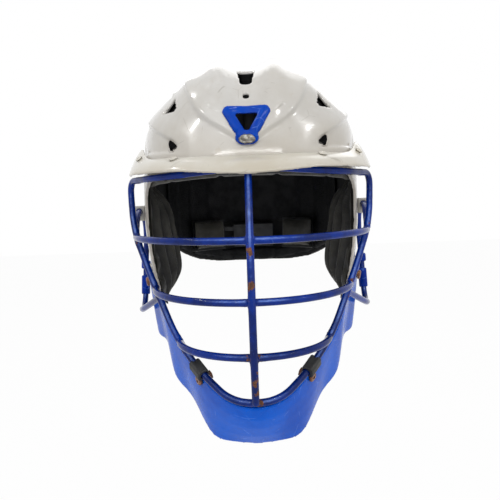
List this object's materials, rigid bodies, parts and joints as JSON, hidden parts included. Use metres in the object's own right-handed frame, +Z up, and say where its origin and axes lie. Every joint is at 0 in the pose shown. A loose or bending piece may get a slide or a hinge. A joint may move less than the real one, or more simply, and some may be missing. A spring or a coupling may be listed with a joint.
{
  "type": "lacrosse helmet",
  "caption": "Hard-shell field helmet with a visor, a welded wire face guard, a moulded chin guard, padding and a dial-tightened nape cradle.",
  "frame": {"origin": "middle of the space for the wearer's head, level with the temples", "axes": "+Z up through the crown, -Y forward out of the face opening, +X to the right of someone who looks at the face opening; left and right in node names are as that person sees them"},
  "size_m": [0.2376, 0.3137, 0.3367],
  "materials": {
    "shell_white": "glossy, slightly yellowed and scuffed",
    "visor_white": "glossy, creamier than the shell",
    "trim_blue": "glossy royal blue",
    "badge_grey": "bare satin grey",
    "guard_blue": "glossy deep blue paint, chipped to rust",
    "chin_blue": "glossy royal blue",
    "clip_black": "dull black",
    "clip_white": "glossy white",
    "fitting_blue": "glossy blue",
    "screw_rust": "rusted steel",
    "screw_steel": "dull steel",
    "liner_black": "fine-grained black foam",
    "pad_dark": "dark grey-brown padding with a worn sheen",
    "fit_black": "moulded black",
    "bracket_grey": "moulded dark grey"
  },
  "bodies": {
    "helmet": {"front_shell": "shell_white", "rear_shell": "shell_white", "visor": "visor_white", "vent_trim": "trim_blue", "trim_badge": "badge_grey", "shell_brackets": "bracket_grey", "shell_screws": "screw_steel", "visor_screws": "visor_white", "arm_screws": "screw_rust", "housing_screws": "screw_steel", "snap_studs": "screw_steel", "chin_screws": "screw_rust", "chin_nuts": "screw_rust", "crown_liner_left": "liner_black", "crown_liner_right": "liner_black", "rear_liner": "liner_black", "brow_pad": "pad_dark", "side_liner_left": "liner_black", "side_liner_right": "liner_black", "jaw_pad_left": "pad_dark", "jaw_pad_right": "pad_dark", "guard_frame_wire": "guard_blue", "guard_top_wire": "guard_blue", "guard_upper_bar": "guard_blue", "guard_middle_bar": "guard_blue", "guard_lower_bar": "guard_blue", "guard_centre_bar": "guard_blue", "guard_loop_left": "guard_blue", "guard_loop_right": "guard_blue", "loop_collar_left": "fitting_blue", "loop_collar_right": "fitting_blue", "strap_hook_left": "fitting_blue", "strap_hook_right": "fitting_blue", "loop_clip_left": "clip_white", "loop_clip_right": "clip_white", "top_clip_left": "clip_black", "top_clip_right": "clip_black", "chin_guard": "chin_blue", "chin_clip_left": "clip_black", "chin_clip_right": "clip_black", "fit_housing": "fit_black"},
    "dial": {"fit_dial": "fit_black", "fit_pinion": "fit_black", "dial_screw": "screw_steel"},
    "wing_left": {"cradle_wing_left": "fit_black", "wing_pad_left": "pad_dark"},
    "wing_right": {"cradle_wing_right": "fit_black", "wing_pad_right": "pad_dark"}
  },
  "joints": [
    {"name": "dial_turn", "type": "hinge", "parent": "helmet", "child": "dial", "pos_m": [0, 0.131, -0.062], "axis": [0, 1, 0], "range_deg": [0, 114.59]},
    {"name": "wing_left_slide", "type": "slide", "parent": "helmet", "child": "wing_left", "axis": [1, 0, 0], "range_m": [0, 0.0101]},
    {"name": "wing_right_slide", "type": "slide", "parent": "helmet", "child": "wing_right", "axis": [-1, 0, 0], "range_m": [0, 0.0101]}
  ],
  "couplings": [
    {"joint": "wing_left_slide", "follows": "dial_turn", "m_per_rad": 0.005},
    {"joint": "wing_right_slide", "follows": "dial_turn", "m_per_rad": 0.005}
  ]
}
